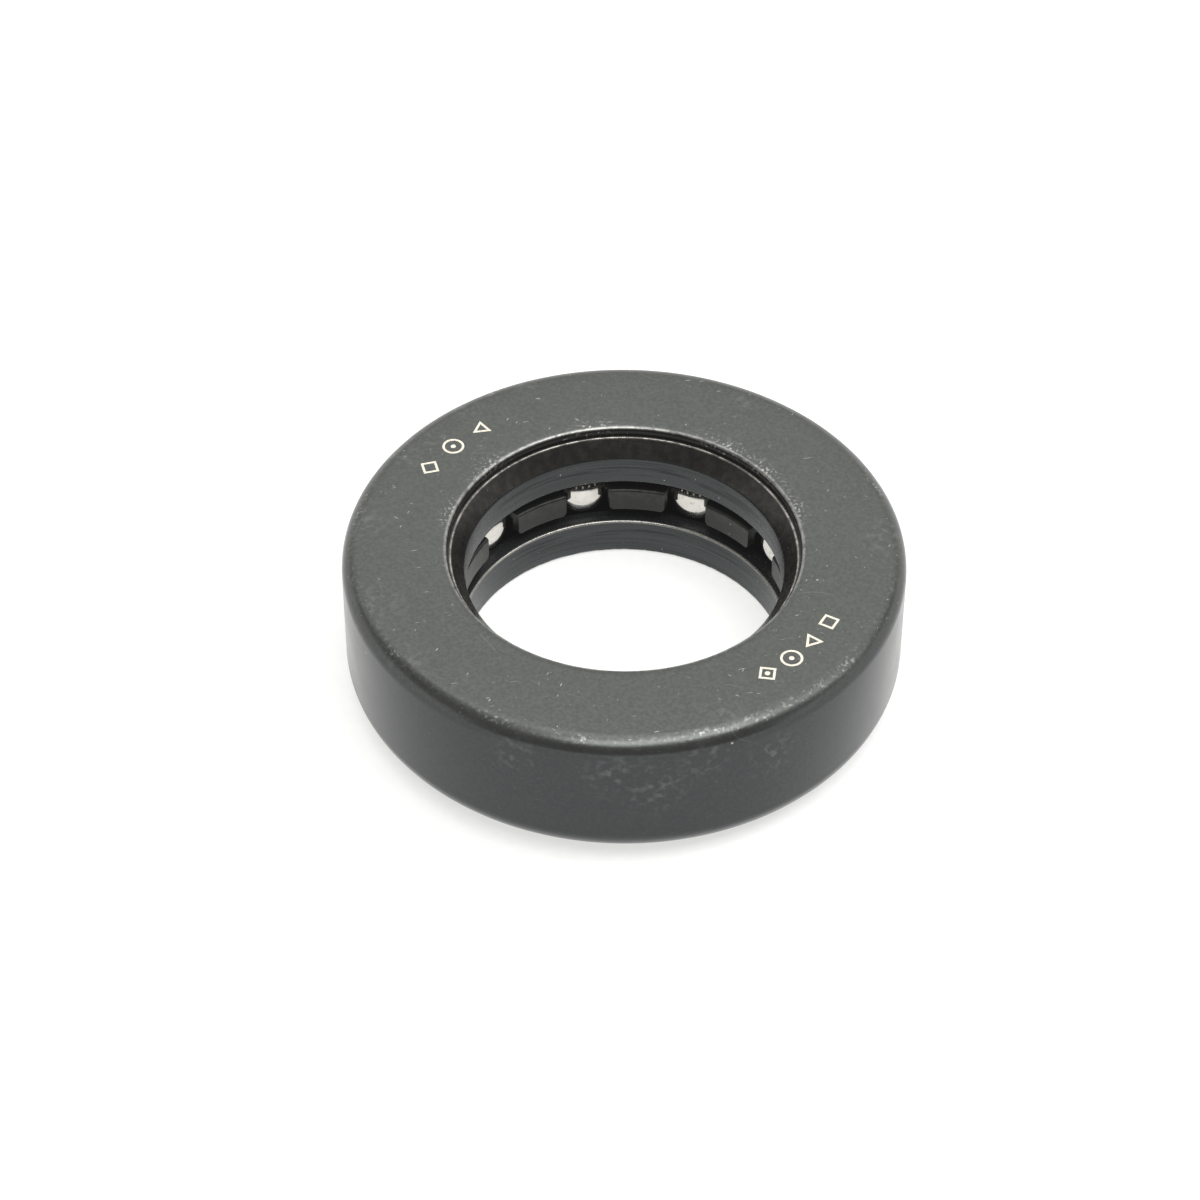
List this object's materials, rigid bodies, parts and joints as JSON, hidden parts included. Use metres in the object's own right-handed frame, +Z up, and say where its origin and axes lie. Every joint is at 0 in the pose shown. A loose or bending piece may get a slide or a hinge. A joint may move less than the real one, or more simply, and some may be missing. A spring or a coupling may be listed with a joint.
{
  "type": "thrust ball bearing",
  "caption": "Banded single-direction thrust ball bearing: two grooved steel races, a caged row of balls between them, and a black sheet-steel band that holds it all together.",
  "frame": {"origin": "centre of the bearing on the plane that it stands on, the lower race's bottom face", "axes": "+Z up the axis of rotation towards the band's flange; +X and +Y across, any way round"},
  "size_m": [0.0552, 0.0552, 0.0159],
  "materials": {
    "band_black_oxide": "satin black oxide on drawn sheet steel, worn bright on its edges",
    "race_steel": "dark turned and ground bearing steel",
    "cage_steel": "satin dark pressed sheet steel",
    "ball_steel": "polished chrome steel"
  },
  "bodies": {
    "lower_ring": {"lower_race": "race_steel"},
    "upper_ring": {"retaining_band": "band_black_oxide", "upper_race": "race_steel"},
    "cage": {"ball_cage": "cage_steel"},
    "ball_01": {"ball_01": "ball_steel"},
    "ball_02": {"ball_02": "ball_steel"},
    "ball_03": {"ball_03": "ball_steel"},
    "ball_04": {"ball_04": "ball_steel"},
    "ball_05": {"ball_05": "ball_steel"},
    "ball_06": {"ball_06": "ball_steel"},
    "ball_07": {"ball_07": "ball_steel"},
    "ball_08": {"ball_08": "ball_steel"},
    "ball_09": {"ball_09": "ball_steel"},
    "ball_10": {"ball_10": "ball_steel"}
  },
  "joints": [
    {"name": "band_turn", "type": "hinge", "parent": "lower_ring", "child": "upper_ring", "pos_m": [0, 0, 0.00706], "axis": [0, 0, 1], "continuous": true},
    {"name": "cage_orbit", "type": "hinge", "parent": "lower_ring", "child": "cage", "pos_m": [0, 0, 0.00706], "axis": [0, 0, 1], "continuous": true},
    {"name": "ball_01_roll", "type": "hinge", "parent": "cage", "child": "ball_01", "pos_m": [0.01774, 0.01066, 0.00706], "axis": [0.8572, 0.515, 0], "continuous": true},
    {"name": "ball_02_roll", "type": "hinge", "parent": "cage", "child": "ball_02", "pos_m": [0.00809, 0.01905, 0.00706], "axis": [0.3907, 0.9205, 0], "continuous": true},
    {"name": "ball_03_roll", "type": "hinge", "parent": "cage", "child": "ball_03", "pos_m": [-0.00466, 0.02017, 0.00706], "axis": [-0.225, 0.9744, 0], "continuous": true},
    {"name": "ball_04_roll", "type": "hinge", "parent": "cage", "child": "ball_04", "pos_m": [-0.01562, 0.01358, 0.00706], "axis": [-0.7547, 0.6561, 0], "continuous": true},
    {"name": "ball_05_roll", "type": "hinge", "parent": "cage", "child": "ball_05", "pos_m": [-0.02062, 0.0018, 0.00706], "axis": [-0.9962, 0.0872, 0], "continuous": true},
    {"name": "ball_06_roll", "type": "hinge", "parent": "cage", "child": "ball_06", "pos_m": [-0.01774, -0.01066, 0.00706], "axis": [-0.8572, -0.515, 0], "continuous": true},
    {"name": "ball_07_roll", "type": "hinge", "parent": "cage", "child": "ball_07", "pos_m": [-0.00809, -0.01905, 0.00706], "axis": [-0.3907, -0.9205, 0], "continuous": true},
    {"name": "ball_08_roll", "type": "hinge", "parent": "cage", "child": "ball_08", "pos_m": [0.00466, -0.02017, 0.00706], "axis": [0.225, -0.9744, 0], "continuous": true},
    {"name": "ball_09_roll", "type": "hinge", "parent": "cage", "child": "ball_09", "pos_m": [0.01562, -0.01358, 0.00706], "axis": [0.7547, -0.6561, 0], "continuous": true},
    {"name": "ball_10_roll", "type": "hinge", "parent": "cage", "child": "ball_10", "pos_m": [0.02062, -0.0018, 0.00706], "axis": [0.9962, -0.0872, 0], "continuous": true}
  ],
  "couplings": [
    {"joint": "cage_orbit", "follows": "band_turn", "ratio": 0.5},
    {"joint": "ball_01_roll", "follows": "band_turn", "ratio": -2.6077},
    {"joint": "ball_02_roll", "follows": "band_turn", "ratio": -2.6077},
    {"joint": "ball_03_roll", "follows": "band_turn", "ratio": -2.6077},
    {"joint": "ball_04_roll", "follows": "band_turn", "ratio": -2.6077},
    {"joint": "ball_05_roll", "follows": "band_turn", "ratio": -2.6077},
    {"joint": "ball_06_roll", "follows": "band_turn", "ratio": -2.6077},
    {"joint": "ball_07_roll", "follows": "band_turn", "ratio": -2.6077},
    {"joint": "ball_08_roll", "follows": "band_turn", "ratio": -2.6077},
    {"joint": "ball_09_roll", "follows": "band_turn", "ratio": -2.6077},
    {"joint": "ball_10_roll", "follows": "band_turn", "ratio": -2.6077}
  ]
}
